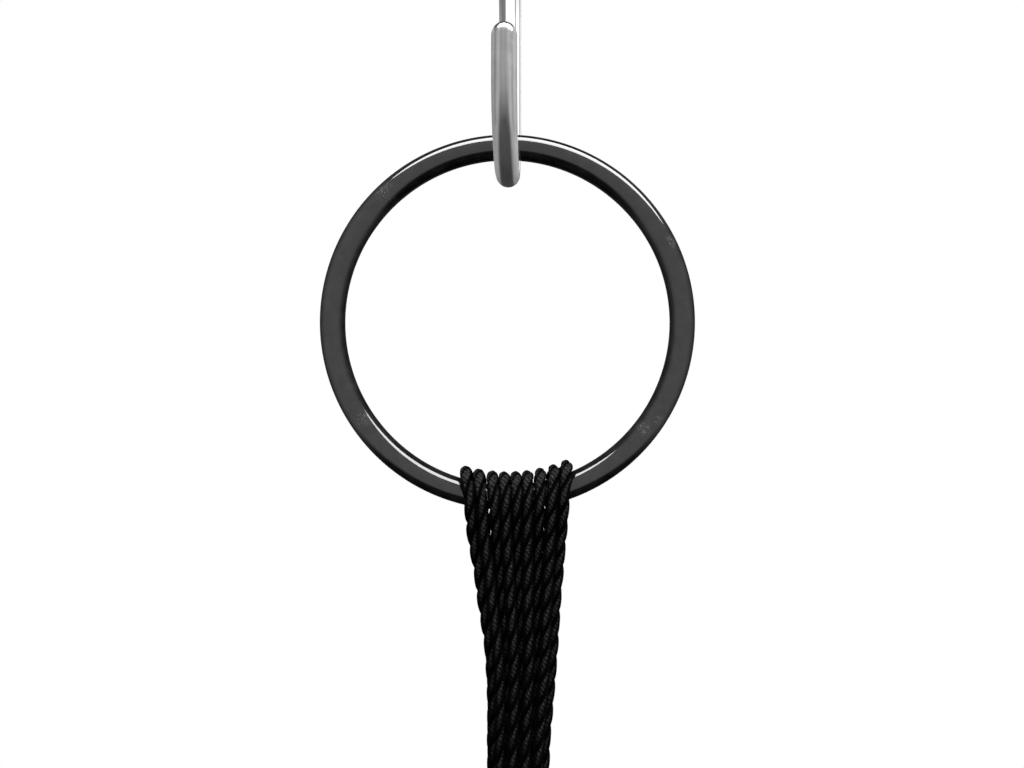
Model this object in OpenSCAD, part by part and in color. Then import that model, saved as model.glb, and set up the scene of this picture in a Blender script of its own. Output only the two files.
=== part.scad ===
// Top suspension of a swing: an open S-hook carries a steel ring, and nine doubled
// cords hang from the ring and are gathered by a whipping above a lower eye.
// Millimetres, +Z up. The origin is the highest point of the upper bowl's inside,
// where the hook sits on whatever holds the swing up. The ring faces along Y.

/* [S-hook] */
// Diameter of the hook's round rod
rod_d = 8; // [7:0.1:8.5]
// Centreline radius of the bowls and of the bends between them
bowl_r = 22.7; // [21:0.1:25]
// Length of the front leg, from the lower bowl up to the top of its round tip
front_leg = 17.2; // [10:0.1:24]
// Straight length of the spine, from the lower bowl up to the bend that crosses over
spine_leg = 38; // [30:0.5:45]
// Length of the upper leg, from the upper bowl down to the end of its round tip
upper_leg = 8; // [5:0.1:12]
// Turn of the hook about the vertical, against the ring's face
hook_yaw = -2.2; // [-4:0.1:4]

/* [Ring] */
// Diameter of the ring's coated bar
bar_d = 8.4; // [7.6:0.1:9]
// Mean radius of the ring
ring_r = 58.5; // [56:0.5:62]
// Gap between the ring's bar and the hook under it
seat_gap = 0.3; // [0.1:0.1:0.4]

/* [Cords] */
// Diameter of one twisted cord, pulled tight
cord_d = 3.4; // [3:0.1:3.5]
// Centreline radius of a cord's loop over the ring
loop_r = 7.2; // [7:0.1:7.4]
// Height of a loop's centreline above the bar's centre, at the top of the loop
loop_rest = 6.7; // [6.6:0.1:6.9]
// Distance between cords that lie side by side in the gathered bundle
cord_pitch = 4.2; // [4:0.1:4.3]
// Sideways place of the gathered bundle
clew_x = 3.6; // [0:0.1:5]

/* [Whipping] */
// Diameter of the twine that gathers the cords
twine_d = 2.5; // [2:0.1:3]
// Number of turns of twine
twine_turns = 10; // [6:1:12]
// Inner radius of the lower eye
eye_r = 9; // [8:0.5:11]

/* [Hidden] */
$fn = 64;

HOOK_COLOR = [0.72, 0.73, 0.74];
RING_COLOR = [0.05, 0.05, 0.055];
CORD_COLOR = [0.03, 0.03, 0.03];
TWINE_COLOR = [0.06, 0.06, 0.06];

// Heights down the hook, from the seat in its upper bowl
upper_bowl_z = rod_d / 2 - bowl_r;
cross_z = upper_bowl_z - 2 * bowl_r;
lower_bowl_z = cross_z - spine_leg;
ring_z = lower_bowl_z - bowl_r + rod_d / 2 + seat_gap + bar_d / 2 - ring_r;

// Where each cord crosses the ring's bar, from the left
cord_x = [-13.9, -9.6, -5.0, -1.0, 2.9, 6.8, 11.1, 15.6, 19.8];
cord_count = len(cord_x);
middle = (cord_count - 1) / 2;
// Depth of the two rows that the gathered cords settle into
inner_row = cord_pitch / 2;
outer_row = inner_row + cord_pitch * sqrt(3) / 2;
// Share of the gathering that is done by the time a loop is level with the bar
loop_lean = 0.16;
// Down the legs: height from the ring's centre, how far the cords have drawn
// together sideways, how far they have settled into their two rows, and how far
// all of them sag to the right
leg_stations = [[-63, 0.21, 0.08, 0], [-71, 0.29, 0.40, 0], [-81, 0.44, 0.58, 0.4],
                [-93, 0.59, 0.72, 0.6], [-107, 0.76, 0.83, 1.1], [-123, 0.89, 0.92, 0.9],
                [-139, 0.97, 0.98, 0.2], [-151, 1, 1, 0], [-164, 1, 1, 0], [-178, 1, 1, 0]];
whipping_top = -151.5;
eye_top = -178;
eye_centre = -201;
twine_gap = 0.3;
// Neighbouring turns of twine press into each other a little
twine_pitch = twine_d - 0.1;
tube_sides = 8;

function mix(a, b, share) = a + (b - a) * share;
function smooth(t) = t * t * (3 - 2 * t);
function gathered_x(i) = clew_x + (i - middle) * cord_pitch / 2;
function row_y(i) = i % 2 == 0 ? inner_row : outer_row;
function eye_radius(i) = eye_r + cord_d / 2 + row_y(i) - inner_row;
function bar_z(x) = -sqrt(ring_r * ring_r - x * x);
// The bar slopes away from the middle, so a loop there stands a little higher over it
function loop_z(i) = bar_z(cord_x[i]) - loop_rest * ring_r / bar_z(cord_x[i]) - loop_r;

// One half of cord i, from the top of its loop down to the bottom of the eye.
// side is -1 for the front leg and 1 for the back leg.
function half_route(i, side) = concat(
    [for (a = [0:18:90])
        [mix(cord_x[i], gathered_x(i), loop_lean * (1 - cos(a))),
         side * loop_r * sin(a),
         loop_z(i) + loop_r * cos(a)]],
    [for (s = leg_stations)
        [mix(cord_x[i], gathered_x(i), s[1]) + s[3],
         side * mix(loop_r, row_y(i), s[2]),
         s[0]]],
    [for (t = [0.25:0.25:1])
        [gathered_x(i),
         side * mix(row_y(i), eye_radius(i), smooth(t)),
         mix(eye_top, eye_centre, t)]],
    [for (a = [22.5:22.5:90])
        [gathered_x(i),
         side * eye_radius(i) * cos(a),
         eye_centre - eye_radius(i) * sin(a)]]);

// The whole closed loop of cord i: down the front, and back up behind
function cord_route(i) =
    let (front = half_route(i, -1), back = half_route(i, 1), n = len(back))
    concat(front, [for (j = [n - 2:-1:1]) back[j]]);

function unit(v) = v / norm(v);

// Round tube of diameter d along a closed route that turns about the X direction
module closed_tube(route, d) {
    n = len(route);
    points = [for (i = [0:n - 1])
        let (along = unit(route[(i + 1) % n] - route[(i + n - 1) % n]),
             out = unit(cross(along, [1, 0, 0])),
             across = cross(along, out))
        for (j = [0:tube_sides - 1])
            let (a = 360 * j / tube_sides)
            route[i] + d / 2 * (cos(a) * out + sin(a) * across)];
    faces = [for (i = [0:n - 1]) for (j = [0:tube_sides - 1])
        let (k = (i + 1) % n, m = (j + 1) % tube_sides)
        each [[i * tube_sides + j, k * tube_sides + j, k * tube_sides + m],
              [i * tube_sides + j, k * tube_sides + m, i * tube_sides + m]]];
    polyhedron(points, faces);
}

// Rod bent round the bowls' radius in the YZ plane, from +Y and over the top
module bend(angle) {
    rotate([90, 0, 90])
        rotate_extrude(angle = angle)
            translate([bowl_r, 0]) circle(d = rod_d);
}

// Straight rod from z = 0 up to length, with a round end
module tip(length) {
    cylinder(d = rod_d, h = length - rod_d / 2);
    translate([0, 0, length - rod_d / 2]) sphere(d = rod_d);
}

module s_hook() {
    color(HOOK_COLOR)
    rotate([0, 0, hook_yaw]) {
        // Lower bowl, its front leg and the spine behind it
        translate([0, 0, lower_bowl_z]) {
            rotate([180, 0, 0]) bend(180);
            translate([0, -bowl_r, 0]) tip(front_leg);
            translate([0, bowl_r, 0]) cylinder(d = rod_d, h = spine_leg);
        }
        // The spine bends over to the middle, then on round the upper bowl
        translate([0, 0, cross_z]) bend(90);
        translate([0, 0, upper_bowl_z]) {
            bend(270);
            translate([0, bowl_r, 0]) rotate([180, 0, 0]) tip(upper_leg);
        }
    }
}

module ring() {
    color(RING_COLOR)
    translate([0, 0, ring_z])
        rotate([90, 0, 0])
            rotate_extrude() translate([ring_r, 0]) circle(d = bar_d);
}

// Cord number i + 1, one closed loop over the ring and through the eye
module cord(i) {
    color(CORD_COLOR)
    translate([0, 0, ring_z]) closed_tube(cord_route(i), cord_d);
}

// Outline around the gathered legs, seen from above, at a gap from them
module bundle_outline(gap) {
    offset(r = gap) hull()
        for (i = [0:cord_count - 1], side = [-1, 1])
            translate([gathered_x(i), side * row_y(i)]) circle(d = cord_d);
}

// The band that the turns of twine make, side by side around the gathered cords
module whipping() {
    height = twine_turns * twine_pitch;
    color(TWINE_COLOR)
    translate([0, 0, ring_z + whipping_top - height])
        linear_extrude(height) difference() {
            bundle_outline(twine_gap + twine_d, $fn = 32);
            bundle_outline(twine_gap, $fn = 32);
        }
}

s_hook();
ring();
cord(0);  // cord_1
cord(1);  // cord_2
cord(2);  // cord_3
cord(3);  // cord_4
cord(4);  // cord_5
cord(5);  // cord_6
cord(6);  // cord_7
cord(7);  // cord_8
cord(8);  // cord_9
whipping();
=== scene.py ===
"""Looks of the swing suspension: S-hook, coated ring, nine twisted cords and their whipping."""
import math
import random

import bpy
import numpy as np
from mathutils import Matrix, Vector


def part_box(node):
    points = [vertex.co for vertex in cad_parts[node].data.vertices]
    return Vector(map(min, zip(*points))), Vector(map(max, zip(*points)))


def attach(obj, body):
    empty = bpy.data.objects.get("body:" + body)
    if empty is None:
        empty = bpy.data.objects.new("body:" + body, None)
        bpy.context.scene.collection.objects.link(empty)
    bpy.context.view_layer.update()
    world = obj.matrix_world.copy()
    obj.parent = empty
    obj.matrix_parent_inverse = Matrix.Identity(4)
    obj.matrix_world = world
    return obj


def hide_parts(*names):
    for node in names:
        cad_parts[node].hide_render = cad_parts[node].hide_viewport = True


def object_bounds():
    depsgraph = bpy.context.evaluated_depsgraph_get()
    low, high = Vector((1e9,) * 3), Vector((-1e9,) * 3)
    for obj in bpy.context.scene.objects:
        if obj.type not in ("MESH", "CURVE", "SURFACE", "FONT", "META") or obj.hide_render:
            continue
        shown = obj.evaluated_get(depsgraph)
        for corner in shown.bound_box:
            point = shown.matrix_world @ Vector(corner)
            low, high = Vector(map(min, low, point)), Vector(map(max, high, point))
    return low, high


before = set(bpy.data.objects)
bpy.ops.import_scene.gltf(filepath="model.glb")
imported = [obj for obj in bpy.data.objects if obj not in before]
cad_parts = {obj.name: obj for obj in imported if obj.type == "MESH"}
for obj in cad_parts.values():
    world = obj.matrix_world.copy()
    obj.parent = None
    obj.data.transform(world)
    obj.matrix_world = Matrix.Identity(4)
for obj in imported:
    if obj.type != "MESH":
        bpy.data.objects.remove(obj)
cad_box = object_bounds()

MM = 0.001
SEED = 7

# ---------------------------------------------------------------- places, from the frame
ring_low, ring_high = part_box("ring")
BAR_R = (ring_high[1] - ring_low[1]) / 2
RING_R = (ring_high[0] - ring_low[0]) / 2 - BAR_R
RING_Z = (ring_high[2] + ring_low[2]) / 2
whip_low, whip_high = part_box("whipping")
hook_low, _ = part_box("s_hook")
HOOK_ROD = 8 * MM
HOOK_YAW = math.radians(-2.2)
BOWL_OUTER = 26.7 * MM
BOWL_TOP = hook_low[2] + BOWL_OUTER

# ---------------------------------------------------------------- camera
CAMERA_DISTANCE = 260.9 * MM
CAMERA_RIGHT = 1.53 * MM
CAMERA_DROP = 20.6 * MM
SENSOR = 36.0
FOCAL = 27.4


def make_camera():
    data = bpy.data.cameras.new("camera")
    data.sensor_width = SENSOR
    data.lens = FOCAL
    data.clip_start = 0.01
    camera = bpy.data.objects.new("camera", data)
    camera.location = (CAMERA_RIGHT, -CAMERA_DISTANCE, RING_Z - CAMERA_DROP)
    camera.rotation_euler = (math.radians(90), 0, 0)
    bpy.context.scene.collection.objects.link(camera)
    bpy.context.scene.camera = camera


# ---------------------------------------------------------------- cord routes, as in part.scad
# In mm from the ring's centre. LOOP_R is to a cord's centre line, EYE_R to the eye's inside.
CAD_CORD_D = 3.4
LOOP_R = 7.2
LOOP_REST = 6.7
LOOP_LEAN = 0.16
PITCH = 4.2
CLEW_X = 3.6
EYE_R = 9.0
EYE_TOP = -178
EYE_CENTRE = -201
CORD_X = [-13.9, -9.6, -5.0, -1.0, 2.9, 6.8, 11.1, 15.6, 19.8]
# Down a leg: height, and how far the cords have drawn together, settled into rows and sagged
LEG_STATIONS = [
    (-63, 0.21, 0.08, 0), (-71, 0.29, 0.40, 0), (-81, 0.44, 0.58, 0.4), (-93, 0.59, 0.72, 0.6),
    (-107, 0.76, 0.83, 1.1), (-123, 0.89, 0.92, 0.9), (-139, 0.97, 0.98, 0.2), (-151, 1, 1, 0),
    (-164, 1, 1, 0), (-178, 1, 1, 0),
]
# Degrees between a loop's points, and how many points it takes from its top to level with the bar
LOOP_STEP = 18
LOOP_POINTS = 90 // LOOP_STEP + 1
# Points along each half of the eye's neck, and as many round each half of its bottom
EYE_POINTS = 4
# The station, inside the whipping, where each cord's path starts and ends
START_STATION = 8
MIDDLE = (len(CORD_X) - 1) / 2
INNER_ROW = PITCH / 2
OUTER_ROW = INNER_ROW + PITCH * math.sqrt(3) / 2


def mix(a, b, share):
    return a + (b - a) * share


def smooth(t):
    return t * t * (3 - 2 * t)


def gathered_x(i):
    return CLEW_X + (i - MIDDLE) * PITCH / 2


def row_y(i):
    return OUTER_ROW if i % 2 else INNER_ROW


def eye_radius(i):
    return EYE_R + CAD_CORD_D / 2 + row_y(i) - INNER_ROW


def half_route(i, side):
    """Cord i from the top of its loop to the bottom of the eye, in mm from the ring's centre."""
    ring_r = RING_R / MM
    bar_z = -math.sqrt(ring_r ** 2 - CORD_X[i] ** 2)
    loop_z = bar_z - LOOP_REST * ring_r / bar_z - LOOP_R
    route = []
    for degrees in range(0, 91, LOOP_STEP):
        a = math.radians(degrees)
        x = mix(CORD_X[i], gathered_x(i), LOOP_LEAN * (1 - math.cos(a)))
        route.append((x, side * LOOP_R * math.sin(a), loop_z + LOOP_R * math.cos(a)))
    for z, drawn, settled, sag in LEG_STATIONS:
        y = side * mix(LOOP_R, row_y(i), settled)
        route.append((mix(CORD_X[i], gathered_x(i), drawn) + sag, y, z))
    for step in range(1, EYE_POINTS + 1):
        done = step / EYE_POINTS
        y = side * mix(row_y(i), eye_radius(i), smooth(done))
        route.append((gathered_x(i), y, mix(EYE_TOP, EYE_CENTRE, done)))
    for step in range(1, EYE_POINTS + 1):
        a = math.radians(90 * step / EYE_POINTS)
        y = side * eye_radius(i) * math.cos(a)
        route.append((gathered_x(i), y, EYE_CENTRE - eye_radius(i) * math.sin(a)))
    return route


def cord_route(i):
    """Cord i in metres, from inside the whipping up over the ring, round the eye and back."""
    front, back = half_route(i, -1), half_route(i, 1)
    loop = front + back[-2:0:-1]
    start = LOOP_POINTS + START_STATION
    loop = loop[start::-1] + loop[:start:-1] + [loop[start]]
    return np.array(loop) * MM + np.array([0, 0, RING_Z])


# ---------------------------------------------------------------- mesh helpers
# Points worked out between two given ones, before a curve is cut into equal steps
SPAN_POINTS = 24
# The bake map has a strip for each fold of each tube, and a last row for the end faces.
# Margins and radius are shares of a strip's length, of its width and of a row's height.
STRIP_END_MARGIN = 0.01
STRIP_SIDE_MARGIN = 0.04
CAP_R = 0.4


def unit(v):
    return v / np.linalg.norm(v, axis=-1, keepdims=True)


def resampled(points, step):
    """The smooth curve through points, at equal steps along it."""
    padded = np.vstack([2 * points[0] - points[1], points, 2 * points[-1] - points[-2]])
    dense = []
    for j in range(1, len(padded) - 2):
        p0, p1, p2, p3 = padded[j - 1:j + 3]
        spans = np.sqrt([np.linalg.norm(p1 - p0), np.linalg.norm(p2 - p1), np.linalg.norm(p3 - p2)])
        m1 = (p2 - p1) + spans[1] * ((p1 - p0) / spans[0] - (p2 - p0) / (spans[0] + spans[1]))
        m2 = (p2 - p1) + spans[1] * ((p3 - p2) / spans[2] - (p3 - p1) / (spans[1] + spans[2]))
        t = np.linspace(0, 1, SPAN_POINTS, endpoint=False)[:, None]
        dense.append((2 * t**3 - 3 * t**2 + 1) * p1 + (t**3 - 2 * t**2 + t) * m1
                     + (3 * t**2 - 2 * t**3) * p2 + (t**3 - t**2) * m2)
    dense = np.vstack(dense + [points[-1:]])
    run = np.concatenate([[0], np.cumsum(np.linalg.norm(np.diff(dense, axis=0), axis=1))])
    count = max(2, int(round(run[-1] / step)) + 1)
    at = np.linspace(0, run[-1], count)
    return np.stack([np.interp(at, run, dense[:, k]) for k in range(3)], 1), at


def tangents(line):
    return unit(np.gradient(line, axis=0))


def full_turn(count):
    """Angles at equal steps all the way round."""
    return np.arange(count) * 2 * math.pi / count


def tube(rings, run, closed=False, folds=1):
    """A tube through rings, an array of rings x sides x 3, each ring at its distance run along.

    On the bake map it is folded into that many strips."""
    return {"rings": rings, "run": run, "closed": closed, "folds": folds}


def tube_faces(part, base, row, rows):
    """Faces of a tube with, for each corner, its place along and round, and on the bake map."""
    n, sides = part["rings"].shape[:2]
    spans = n if part["closed"] else n - 1
    j, k = np.meshgrid(np.arange(spans), np.arange(sides), indexing="ij")
    along = np.stack([j, j, j + 1, j + 1], -1)
    around = np.stack([k, k + 1, k + 1, k], -1)
    faces = (base + (along % n) * sides + around % sides).reshape(-1, 4)
    run = np.append(part["run"], part["run"][-1] + part["run"][1]) / MM
    yarn = np.stack([run[along], around / sides], -1).reshape(-1, 2)
    starts = np.linspace(0, spans, part["folds"] + 1).astype(int)
    fold = np.searchsorted(starts, j, side="right") - 1
    length = (starts[1:] - starts[:-1])[fold]
    u = (along - starts[fold][..., None]) / length[..., None]
    u = STRIP_END_MARGIN + (1 - 2 * STRIP_END_MARGIN) * u
    v = STRIP_SIDE_MARGIN + (1 - 2 * STRIP_SIDE_MARGIN) * around / sides
    bake = np.stack([u, (row + fold[..., None] + v) / rows], -1).reshape(-1, 2)
    return faces, yarn, bake


def cap_faces(part, base, slot, rows):
    """The two end faces of an open tube, on the bake map's last row."""
    n, sides = part["rings"].shape[:2]
    turn = full_turn(sides)
    disc = CAP_R / rows * np.stack([np.cos(turn), np.sin(turn)], -1)
    faces, yarn, bake = [], [], []
    for end, order in ((0, -1), (n - 1, 1)):
        faces.append((base + end * sides + np.arange(sides)[::order]).tolist())
        yarn.append(np.stack([np.full(sides, part["run"][end] / MM), turn[::order]], -1))
        centre = np.array([(slot + 0.5) / rows, (rows - 0.5) / rows])
        bake.append(centre + disc[::order])
        slot += 1
    return faces, yarn, bake


def make_piece(name, parts, material, body):
    """One smooth object from several tubes, that rides on body."""
    rows = sum(part["folds"] for part in parts) + 1
    faces, yarn, bake, caps, base, row = [], [], [], [], 0, 0
    for part in parts:
        part_faces, part_yarn, part_bake = tube_faces(part, base, row, rows)
        faces += part_faces.tolist()
        yarn.append(part_yarn)
        bake.append(part_bake)
        if not part["closed"]:
            caps.append(cap_faces(part, base, 2 * len(caps), rows))
        base += part["rings"].shape[0] * part["rings"].shape[1]
        row += part["folds"]
    for end_faces, end_yarn, end_bake in caps:
        faces += end_faces
        yarn += end_yarn
        bake += end_bake
    mesh = bpy.data.meshes.new(name)
    vertices = np.vstack([part["rings"].reshape(-1, 3) for part in parts])
    mesh.from_pydata(vertices.tolist(), [], faces)
    for layer_name, places in (("OFBake", bake), ("yarn", yarn)):
        layer = mesh.uv_layers.new(name=layer_name)
        layer.uv.foreach_set("vector", np.vstack(places).astype(np.float32).ravel())
    mesh.shade_smooth()
    mesh.materials.append(material)
    piece = bpy.data.objects.new(name, mesh)
    bpy.context.scene.collection.objects.link(piece)
    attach(piece, body)
    return piece


# ---------------------------------------------------------------- materials
WHITE = (1, 1, 1, 1)


def new_material(name):
    material = bpy.data.materials.new(name)
    material.use_nodes = True
    nodes = material.node_tree.nodes
    return material, nodes, material.node_tree.links, nodes["Principled BSDF"]


def noise(nodes, links, scale, detail=3.0, stretch=None, roughness=0.5):
    """Noise in object coordinates, optionally stretched. scale is its cells in a metre."""
    place = nodes.new("ShaderNodeTexCoord")
    texture = nodes.new("ShaderNodeTexNoise")
    texture.inputs["Scale"].default_value = scale
    texture.inputs["Detail"].default_value = detail
    texture.inputs["Roughness"].default_value = roughness
    source = place.outputs["Object"]
    if stretch:
        mapping = nodes.new("ShaderNodeMapping")
        mapping.inputs["Scale"].default_value = stretch
        links.new(source, mapping.inputs["Vector"])
        source = mapping.outputs["Vector"]
    links.new(source, texture.inputs["Vector"])
    return texture.outputs["Fac"]


def ramp(nodes, links, source, stops):
    """Colour ramp from (position, grey or colour) stops."""
    node = nodes.new("ShaderNodeValToRGB")
    while len(node.color_ramp.elements) < len(stops):
        node.color_ramp.elements.new(0.5)
    for element, (position, colour) in zip(node.color_ramp.elements, stops):
        element.position = position
        grey = colour if isinstance(colour, tuple) else (colour, colour, colour)
        element.color = (*grey, 1)
    links.new(source, node.inputs["Fac"])
    return node.outputs["Color"]


def bump(nodes, links, height, strength, distance, shader):
    node = nodes.new("ShaderNodeBump")
    node.inputs["Strength"].default_value = strength
    node.inputs["Distance"].default_value = distance
    links.new(height, node.inputs["Height"])
    links.new(node.outputs["Normal"], shader.inputs["Normal"])


def math_node(nodes, links, operation, *inputs):
    node = nodes.new("ShaderNodeMath")
    node.operation = operation
    for socket, value in zip(node.inputs, inputs):
        if isinstance(value, (int, float)):
            socket.default_value = value
        else:
            links.new(value, socket)
    return node.outputs["Value"]


def ranged(nodes, links, source, low, high, a=0.0, b=1.0):
    """source taken smoothly from low..high to a..b."""
    node = nodes.new("ShaderNodeMapRange")
    node.interpolation_type = "SMOOTHSTEP"
    for key, value in (("From Min", low), ("From Max", high), ("To Min", a), ("To Max", b)):
        node.inputs[key].default_value = value
    links.new(source, node.inputs["Value"])
    return node.outputs["Result"]


def mixed(nodes, links, share, a, b, blend_type="MIX"):
    """Colour a where share is 0, colour b where it is 1. A share of None is 1 all over."""
    node = nodes.new("ShaderNodeMix")
    node.data_type = "RGBA"
    node.blend_type = blend_type
    node.inputs["Factor"].default_value = 1.0
    if share is not None:
        links.new(share, node.inputs["Factor"])
    for socket, colour in ((node.inputs[6], a), (node.inputs[7], b)):
        links.new(colour, socket)
    return node.outputs[2]


# Small scuffs on the ring: angle from +X, distance from its centre and size, in degrees and mm
SCUFFS = [(133, 58.5, 3.4), (214, 57.5, 2.6), (26, 60.5, 2.2), (-38, 57.0, 2.6), (-33, 59.5, 1.8)]


def scuff_mask(nodes, links):
    """1 in the broken specks around each scuff, 0 elsewhere."""
    place = nodes.new("ShaderNodeTexCoord")
    near = None
    for degrees, radius, size in SCUFFS:
        angle = math.radians(degrees)
        gap = nodes.new("ShaderNodeVectorMath")
        gap.operation = "DISTANCE"
        links.new(place.outputs["Object"], gap.inputs[0])
        gap.inputs[1].default_value = (
            radius * math.cos(angle) * MM, -BAR_R, RING_Z + radius * math.sin(angle) * MM)
        here = ranged(nodes, links, gap.outputs["Value"], 0.4 * size * MM, 1.3 * size * MM, 1.0, 0.0)
        near = here if near is None else math_node(nodes, links, "MAXIMUM", near, here)
    specks = noise(nodes, links, 2300, roughness=0.7)
    broken = ranged(nodes, links, specks, 0.52, 0.66)
    return math_node(nodes, links, "MULTIPLY", near, broken)


def coated_black():
    """High-gloss black coating: faint orange peel, a light mottle, and a few small scuffs."""
    material, nodes, links, shader = new_material("gloss_black_coating")
    shader.inputs["IOR"].default_value = 1.5
    mottle = noise(nodes, links, 260, detail=4, roughness=0.6)
    coat = ramp(nodes, links, mottle, [(0.35, 0.001), (0.7, 0.007)])
    worn = ramp(nodes, links, mottle, [(0.3, 0.05), (0.7, 0.10)])
    scuffs = scuff_mask(nodes, links)
    links.new(mixed(nodes, links, scuffs, coat, worn), shader.inputs["Base Color"])
    links.new(ranged(nodes, links, scuffs, 0, 1, 0.08, 0.4), shader.inputs["Roughness"])
    peel = noise(nodes, links, 620, detail=2)
    bump(nodes, links, peel, 0.12, 0.12 * MM, shader)
    return material


# Painted reflection down the lower bowl, from its top to its bottom: a dark streak along the rod's
# middle, and painted light along its sides, paler towards the bottom
MIDDLE_PAINTED_REFLECTION = [(0.0, 0.24), (0.15, 0.175), (0.29, 0.125), (0.4, 0.115), (1.0, 0.14)]
FLANK_PAINTED_LIGHT = [(0.0, 0.31), (0.3, 0.37), (0.6, 0.42), (0.9, 0.65), (1.0, 0.85)]
# Half the width of the painted dark streak down the middle, in rod widths: where it fades from and
# to at the bowl's top, and how much wider it is at the bottom
PAINTED_STREAK_EDGE = (0.1, 0.24)
PAINTED_STREAK_WIDENING = 0.1
# The spine's painted reflection lines take over from the bowl's painted tones between these places
# along Y
SPINE_FROM = (4 * MM, 14 * MM)
# Above this height the plating has no painted reflections, only streaks
PLAIN_FROM = -55 * MM
PLAIN_FADE = 10 * MM
# How metallic the duller plating is, so that lamps light it matt under the painted light: at the
# rod's sides, and low in the bowl
DULL_METAL = 0.25
# Across the spine, from its left to its right edge: painted reflection lines, light and dark,
# running along the rod
SPINE_PAINTED_REFLECTIONS = [
    (0.00, 0.30), (0.10, 0.24), (0.31, 0.15), (0.33, 0.80), (0.725, 0.80), (0.74, 0.25),
    (0.775, 0.25), (0.79, 0.95), (0.89, 0.95), (0.90, 0.35), (0.94, 0.35), (0.955, 0.60),
]


def zinc():
    """Zinc plating over drawn rod: streaks along it, painted reflections on the bowl and spine, and
    paler painted light with duller plating at its sides.
    """
    material, nodes, links, shader = new_material("zinc_plating")
    place = nodes.new("ShaderNodeTexCoord")
    across = nodes.new("ShaderNodeVectorMath")
    across.operation = "DOT_PRODUCT"
    across.inputs[1].default_value = (math.cos(HOOK_YAW), math.sin(HOOK_YAW), 0)
    links.new(place.outputs["Object"], across.inputs[0])
    across = math_node(nodes, links, "MULTIPLY", across.outputs["Value"], 1 / HOOK_ROD)
    offset = math_node(nodes, links, "ABSOLUTE", across)
    split = nodes.new("ShaderNodeSeparateXYZ")
    links.new(place.outputs["Object"], split.inputs[0])
    rear = ranged(nodes, links, split.outputs["Y"], *SPINE_FROM)
    down = ranged(nodes, links, split.outputs["Z"], BOWL_TOP, BOWL_TOP - BOWL_OUTER, 0, 1)

    clouds = noise(nodes, links, 160, detail=4)
    streaks = noise(nodes, links, 1500, stretch=(1, 0.03, 0.03))
    blend = math_node(nodes, links, "ADD", math_node(nodes, links, "MULTIPLY", clouds, 0.45),
                      math_node(nodes, links, "MULTIPLY", streaks, 0.55))
    streaky = ramp(nodes, links, blend, [(0.35, 0.85), (0.65, 1.1)])

    # Painted reflection: a dark streak down the middle, and painted light on the sides
    middle = ramp(nodes, links, down, MIDDLE_PAINTED_REFLECTION)
    flank = ramp(nodes, links, down, FLANK_PAINTED_LIGHT)
    widening = math_node(nodes, links, "MULTIPLY", down, PAINTED_STREAK_WIDENING)
    past_streak = math_node(nodes, links, "SUBTRACT", offset, widening)
    outer = ranged(nodes, links, past_streak, *PAINTED_STREAK_EDGE)
    front_tone = mixed(nodes, links, outer, middle, flank)
    front_tone = mixed(nodes, links, None, front_tone, streaky, "MULTIPLY")
    width = math_node(nodes, links, "ADD", across, 0.5)
    # Painted reflection lines across the spine
    spine_tone = ramp(nodes, links, width, SPINE_PAINTED_REFLECTIONS)
    lower_tone = mixed(nodes, links, rear, front_tone, spine_tone)
    above = ranged(nodes, links, split.outputs["Z"], PLAIN_FROM, PLAIN_FROM + PLAIN_FADE)
    plain_tone = ramp(nodes, links, blend, [(0.35, 0.48), (0.65, 0.68)])
    links.new(mixed(nodes, links, above, lower_tone, plain_tone), shader.inputs["Base Color"])

    # Less metallic at the sides and low in the bowl, where the painted light lies
    edge = ranged(nodes, links, offset, 0.3, 0.42)
    low = ranged(nodes, links, down, 0.35, 0.65)
    dulled = math_node(nodes, links, "MAXIMUM", edge, low)
    links.new(ranged(nodes, links, dulled, 0, 1, 1, DULL_METAL), shader.inputs["Metallic"])
    links.new(ranged(nodes, links, blend, 0.35, 0.65, 0.18, 0.27), shader.inputs["Roughness"])
    bump(nodes, links, streaks, 0.10, 0.08 * MM, shader)
    return material


def painted_ply_highlight(nodes, links):
    """Painted highlight along the middle of each ply where it faces the camera, and painted top
    light on what faces up: 1 there, falling to 0 in the grooves.
    """
    facing = nodes.new("ShaderNodeLayerWeight")
    facing.inputs["Blend"].default_value = 0.5
    # Painted highlight along the middle of each ply, where it faces the camera
    middle = ranged(nodes, links, facing.outputs["Facing"], 0.01, 0.22, 1, 0.05)
    inside = ranged(nodes, links, facing.outputs["Facing"], 0.45, 0.85, 1, 0)
    surface = nodes.new("ShaderNodeNewGeometry")
    split = nodes.new("ShaderNodeSeparateXYZ")
    links.new(surface.outputs["Normal"], split.inputs[0])
    # Painted top light on what faces up
    painted_top_light = ranged(nodes, links, split.outputs["Z"], 0.2, 0.6)
    painted_top_light = math_node(nodes, links, "MULTIPLY", painted_top_light, inside)
    return math_node(nodes, links, "MAXIMUM", middle, painted_top_light)


# How far noise makes the yarns wander, in radians round the ply
YARN_DRIFT = 8.0


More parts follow.
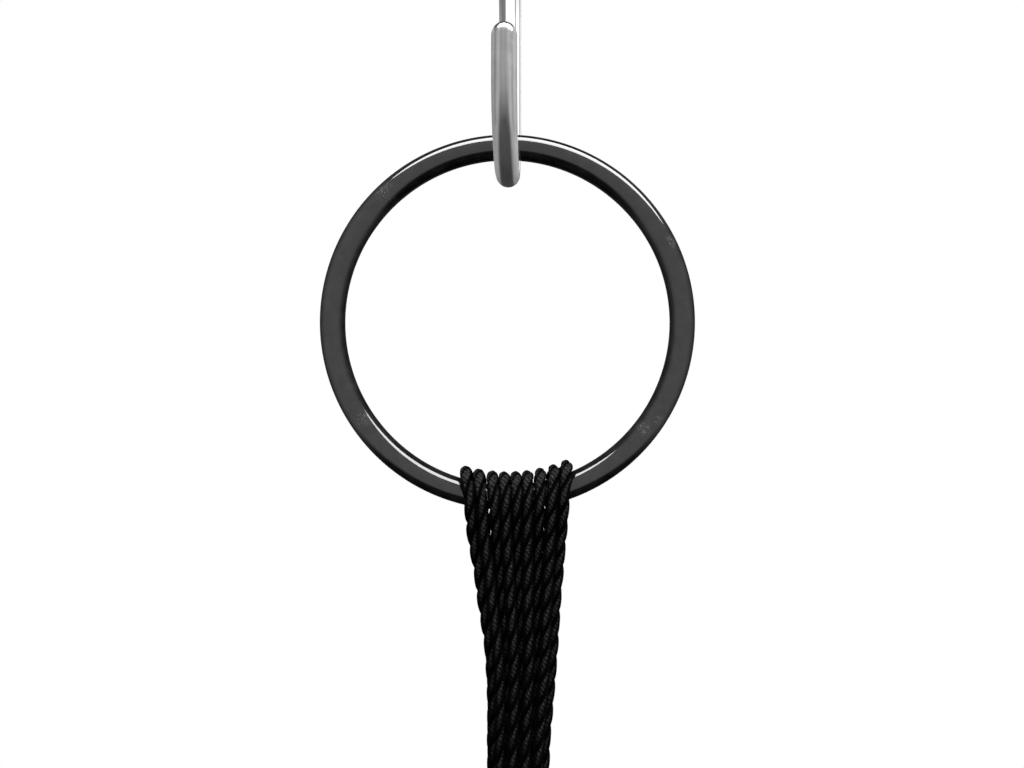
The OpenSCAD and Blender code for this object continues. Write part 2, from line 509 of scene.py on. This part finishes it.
def black_fibre(name, yarns, pitch, dark, light):
    """Black fibre with a painted highlight along each ply, and painted shade in the grooves between
    plies and between the yarns that wind round it each pitch mm; dark and light are its shaded and
    lit tones.
    """
    material, nodes, links, shader = new_material(name)
    place = nodes.new("ShaderNodeUVMap")
    place.uv_map = "yarn"
    split = nodes.new("ShaderNodeSeparateXYZ")
    links.new(place.outputs["UV"], split.inputs[0])
    wander = noise(nodes, links, 900, roughness=0.6)
    along = math_node(nodes, links, "MULTIPLY", split.outputs["X"], 2 * math.pi / pitch)
    around = math_node(nodes, links, "MULTIPLY", split.outputs["Y"], 2 * math.pi * yarns)
    drift = math_node(nodes, links, "MULTIPLY", wander, YARN_DRIFT)
    phase = math_node(nodes, links, "ADD", math_node(nodes, links, "ADD", along, around), drift)
    # Yarn ridges, for the bump and for colour: darker in the grooves between yarns, painted shade
    ridge = ranged(nodes, links, math_node(nodes, links, "SINE", phase), -1, 0.9, 0.2, 1)
    turn = math_node(nodes, links, "MULTIPLY", split.outputs["Y"], 2 * math.pi)
    # Painted shade in the grooves between the plies
    painted_groove_shade = ranged(nodes, links, math_node(nodes, links, "COSINE", turn), -0.4, 0.5, 0.05, 1)
    grain = noise(nodes, links, 3000, detail=4, roughness=0.7)
    specks = ranged(nodes, links, grain, 0.35, 0.68)
    height = math_node(nodes, links, "MULTIPLY", ridge, specks)
    shown = math_node(nodes, links, "MULTIPLY", height, painted_groove_shade)
    shown = math_node(nodes, links, "MULTIPLY", shown, painted_ply_highlight(nodes, links))
    # Base colour from the shaded tone to the lit tone: painted light and shade, with random specks
    links.new(ramp(nodes, links, shown, [(0.02, dark), (0.7, light)]), shader.inputs["Base Color"])
    links.new(ranged(nodes, links, shown, 0, 0.6, 0.95, 0.42), shader.inputs["Roughness"])
    shader.inputs["Specular IOR Level"].default_value = 0.03
    bump(nodes, links, height, 0.7, 0.12 * MM, shader)
    return material


# ---------------------------------------------------------------- pieces
# A cord: its size over two plies, one turn of a ply, and shares of the cord's size for a ply's
# distance from the middle and its half sizes
CORD_D = 4.0 * MM
CORD_LAY = 15.6 * MM
PLY_OFFSET = 0.235
PLY_THICK = 0.265
PLY_WIDE = 0.35
PLY_SIDES = 20
PLY_STEP = 0.5 * MM
PLY_FOLDS = 5
# The yarns that show as ridges on a ply: their number, one turn of them, and shares of the ply's
# size for the grooves between them and for how far they rise above that
YARNS = 4
YARN_LAY = 8.5 * MM
YARN_GROOVE = 0.94
YARN_RIDGE = 0.08
# Where the plies lie at the top of the loops, in degrees, and how much cords differ in that and in
# one turn of a ply
TOP_TURN = -58
TOP_TURN_SPREAD = 12
LAY_SPREAD = (0.985, 1.015)

# The twine: how many turns lie one above another where its two ends overlap, the share of a turn
# that they overlap by, one turn of a ply, and shares of the twine's radius for a ply's distance
# from the middle and its radius
TWINE_TURNS = 10
TWINE_LAP = 0.05
TWINE_LAY = 9 * MM
TWINE_PLY_OFFSET = 0.46
TWINE_PLY_R = 0.52
TWINE_SIDES = 10
TWINE_STEP = 0.6 * MM
TWINE_FOLDS = 10
# How far out from the cords its centre line lies, in its radii, and the length of each tucked end
TWINE_SEAT = 0.9
TWINE_TUCK = 7 * MM
OUTLINE_POINTS = 72

RING_STEPS = 360
RING_SIDES = 48
RING_FOLDS = 4


def ply(line, run, reference, offset, turn, thick, wide, folds):
    """One ply of a twisted line: a tube at offset from it, turned by turn about it all along.

    Turns are counted from the direction square to both the line and reference. thick and wide
    are the tube's half sizes away from the line and across, as rows of one number for each side."""
    along = tangents(line)
    out = unit(np.cross(along, reference))
    across = np.cross(along, out)
    outward = np.cos(turn)[:, None] * out + np.sin(turn)[:, None] * across
    centre = line + offset * outward
    ply_along = tangents(centre)
    outward = unit(outward - (outward * ply_along).sum(1, keepdims=True) * ply_along)
    sideways = np.cross(ply_along, outward)
    around = full_turn(thick.shape[1])
    rings = (centre[:, None, :]
             + (thick * np.cos(around))[..., None] * outward[:, None, :]
             + (wide * np.sin(around))[..., None] * sideways[:, None, :])
    return tube(rings, run, folds=folds)


def make_cord(i, material):
    rng = random.Random(SEED * 100 + i)
    line, run = resampled(cord_route(i), PLY_STEP)
    top = run[np.argmax(line[:, 2])]
    lay = CORD_LAY * rng.uniform(*LAY_SPREAD)
    top_turn = math.radians(TOP_TURN + rng.uniform(-TOP_TURN_SPREAD, TOP_TURN_SPREAD))
    start = top_turn - 2 * math.pi * top / lay
    yarn_turn = full_turn(PLY_SIDES)[None, :] + 2 * math.pi * run[:, None] / YARN_LAY
    size = CORD_D * (YARN_GROOVE + YARN_RIDGE * np.abs(np.cos(YARNS / 2 * yarn_turn)))
    plies = [ply(line, run, [1.0, 0, 0], CORD_D * PLY_OFFSET, start + half + 2 * math.pi * run / lay,
                 PLY_THICK * size, PLY_WIDE * size, PLY_FOLDS)
             for half in (0, math.pi)]
    piece = make_piece(f"twisted_cord_{i + 1}", plies, material, "ropes")
    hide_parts(f"cord_{i + 1}")
    return piece


def bundle_outline(reach):
    """Points around the gathered cords, seen from above, at reach from the outer cords' centres."""
    centres = [(gathered_x(i), side * row_y(i)) for i in range(len(CORD_X)) for side in (-1, 1)]
    centres = np.array(centres) * MM
    angle = full_turn(OUTLINE_POINTS)
    outward = np.stack([np.cos(angle), np.sin(angle)], 1)
    nearest = np.argmax(outward @ centres.T, axis=1)
    return centres[nearest] + reach * outward


def twine_line():
    """The twine's centre line and the distance along it, with the twine's radius.

    Each turn lies a diameter below the last, and both ends are tucked in under the turns."""
    height = whip_high[2] - whip_low[2]
    turns = TWINE_TURNS - 1 + TWINE_LAP
    twine_r = height / (turns + 1) / 2
    outline = bundle_outline(CORD_D / 2 + TWINE_SEAT * twine_r)
    wound = np.tile(outline, (TWINE_TURNS, 1))[:round(len(outline) * turns)]
    line, run = resampled(np.pad(wound, ((0, 0), (0, 1))), TWINE_STEP)
    line[:, 2] = whip_high[2] - twine_r - (height - 2 * twine_r) * run / run[-1]
    from_end = np.minimum(run, run[-1] - run)
    tucked = 1 - smooth(np.clip(from_end / TWINE_TUCK, 0, 1))
    spoke = unit(line[:, :2] - np.array([CLEW_X * MM, 0]))
    line[:, :2] -= 2 * twine_r * tucked[:, None] * spoke
    return line, run, twine_r


def make_whipping(material):
    """Turns of twine side by side round the gathered cords."""
    line, run, twine_r = twine_line()
    size = np.full((1, TWINE_SIDES), TWINE_PLY_R * twine_r)
    plies = [ply(line, run, [0, 0, 1.0], TWINE_PLY_OFFSET * twine_r,
                 half + 2 * math.pi * run / TWINE_LAY, size, size, TWINE_FOLDS)
             for half in (0, math.pi)]
    piece = make_piece("whipping_twine", plies, material, "ropes")
    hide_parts("whipping")
    return piece


def make_ring(material):
    around = full_turn(RING_STEPS)
    section = full_turn(RING_SIDES)
    radial = np.stack([np.cos(around), 0 * around, np.sin(around)], 1)
    rings = (radial[:, None, :] * (RING_R + BAR_R * np.cos(section))[None, :, None]
             + np.array([0, 1.0, 0]) * (BAR_R * np.sin(section))[None, :, None])
    rings = rings + np.array([0, 0, RING_Z])
    part = tube(rings, RING_R * around, closed=True, folds=RING_FOLDS)
    piece = make_piece("ring_bar", [part], material, "ring")
    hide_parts("ring")
    return piece


# ---------------------------------------------------------------- light and surroundings
FLOOR_R = 0.8
FLOOR_SIDES = 120
FLOOR_DROP = 0.38
FLOOR_GREY = (0.28, 0.28, 0.28, 1)
# The surroundings, by the direction that they lie in: from where to where along Z or Y they
# change, and how bright they are before and after
ROOM_FLOOR_Z = (-0.72, -0.46, 0.05, 1.0)
ROOM_CEILING_Z = (0.74, 0.84, 1.0, 0.3)
ROOM_DEPTH_Y = (-0.75, 0.65, 1.6, 0.1)
BACKDROP_Y = (0.3, 0.72, 0.72, 1.0)
# Least brightness of the room's depth as a light on matt surfaces
MATT_FILL = 0.9


def make_world():
    """White ahead of the camera and pale grey elsewhere, as the camera sees it.

    As all else sees it, a grey room that is dark below, behind and above."""
    world = bpy.data.worlds.new("studio")
    bpy.context.scene.world = world
    world.use_nodes = True
    nodes, links = world.node_tree.nodes, world.node_tree.links
    nodes.clear()
    place = nodes.new("ShaderNodeTexCoord")
    split = nodes.new("ShaderNodeSeparateXYZ")
    links.new(place.outputs["Generated"], split.inputs[0])

    floor_line = ranged(nodes, links, split.outputs["Z"], *ROOM_FLOOR_Z)
    ceiling = ranged(nodes, links, split.outputs["Z"], *ROOM_CEILING_Z)
    depth = ranged(nodes, links, split.outputs["Y"], *ROOM_DEPTH_Y)
    rays = nodes.new("ShaderNodeLightPath")
    fill = math_node(nodes, links, "MULTIPLY", rays.outputs["Is Diffuse Ray"], MATT_FILL)
    room = math_node(nodes, links, "MULTIPLY", floor_line, ceiling)
    room = math_node(nodes, links, "MULTIPLY", room, math_node(nodes, links, "MAXIMUM", depth, fill))
    dim = nodes.new("ShaderNodeBackground")
    links.new(room, dim.inputs["Strength"])
    bright = nodes.new("ShaderNodeBackground")
    bright.inputs["Color"].default_value = WHITE
    backdrop = ranged(nodes, links, split.outputs["Y"], *BACKDROP_Y)
    links.new(backdrop, bright.inputs["Strength"])
    choose = nodes.new("ShaderNodeMixShader")
    output = nodes.new("ShaderNodeOutputWorld")
    links.new(rays.outputs["Is Camera Ray"], choose.inputs[0])
    links.new(dim.outputs[0], choose.inputs[1])
    links.new(bright.outputs[0], choose.inputs[2])
    links.new(choose.outputs[0], output.inputs["Surface"])


def make_softbox(name, width, height, radiance, place, tilt, in_reflections):
    """An elliptical soft light, facing down and then tilted about X by tilt degrees."""
    data = bpy.data.lights.new(name, "AREA")
    data.shape = "ELLIPSE"
    data.size = width
    data.size_y = height
    data.energy = radiance * math.pi * width * height * math.pi / 4
    light = bpy.data.objects.new(name, data)
    light.location = place
    light.rotation_euler = (math.radians(tilt), 0, 0)
    light.visible_camera = False
    light.visible_glossy = in_reflections
    bpy.context.scene.collection.objects.link(light)


def make_floor():
    """A pale disc under the object, too low for the main view to reach."""
    low, _ = cad_box
    turn = full_turn(FLOOR_SIDES)
    rim = np.stack([FLOOR_R * np.cos(turn), FLOOR_R * np.sin(turn), 0 * turn], 1)
    mesh = bpy.data.meshes.new("floor")
    mesh.from_pydata((rim + [0, 0, low[2] - FLOOR_DROP]).tolist(), [], [range(len(turn))])
    floor = bpy.data.objects.new("floor", mesh)
    material, _, _, shader = new_material("pale_floor")
    shader.inputs["Base Color"].default_value = FLOOR_GREY
    shader.inputs["Roughness"].default_value = 0.9
    mesh.materials.append(material)
    bpy.context.scene.collection.objects.link(floor)
    floor.visible_glossy = False
    floor.visible_diffuse = False


# ---------------------------------------------------------------- build
make_camera()
# dark and light are the fibre's shaded and lit tones for its painted light and shade
cord_material = black_fibre("black_cord_fibre", yarns=3, pitch=0.95, dark=0.0001, light=0.022)
for number in range(len(CORD_X)):
    make_cord(number, cord_material)
twine_material = black_fibre("black_twine_fibre", yarns=3, pitch=0.8, dark=0.0002, light=0.018)
make_whipping(twine_material)
make_ring(coated_black())
hook_material = zinc()
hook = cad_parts["s_hook"]
for slot in hook.material_slots:
    slot.material = hook_material
make_world()
make_softbox("key_softbox", width=2.1, height=0.66, radiance=18,
             place=(0.31, -0.29, RING_Z + 1.0), tilt=0, in_reflections=True)
make_softbox("back_fill", width=0.9, height=0.9, radiance=12,
             place=(0, 1.5, RING_Z + 0.4), tilt=-75, in_reflections=False)
make_floor()
view = bpy.context.scene.view_settings
view.view_transform = "Standard"
view.look = "None"
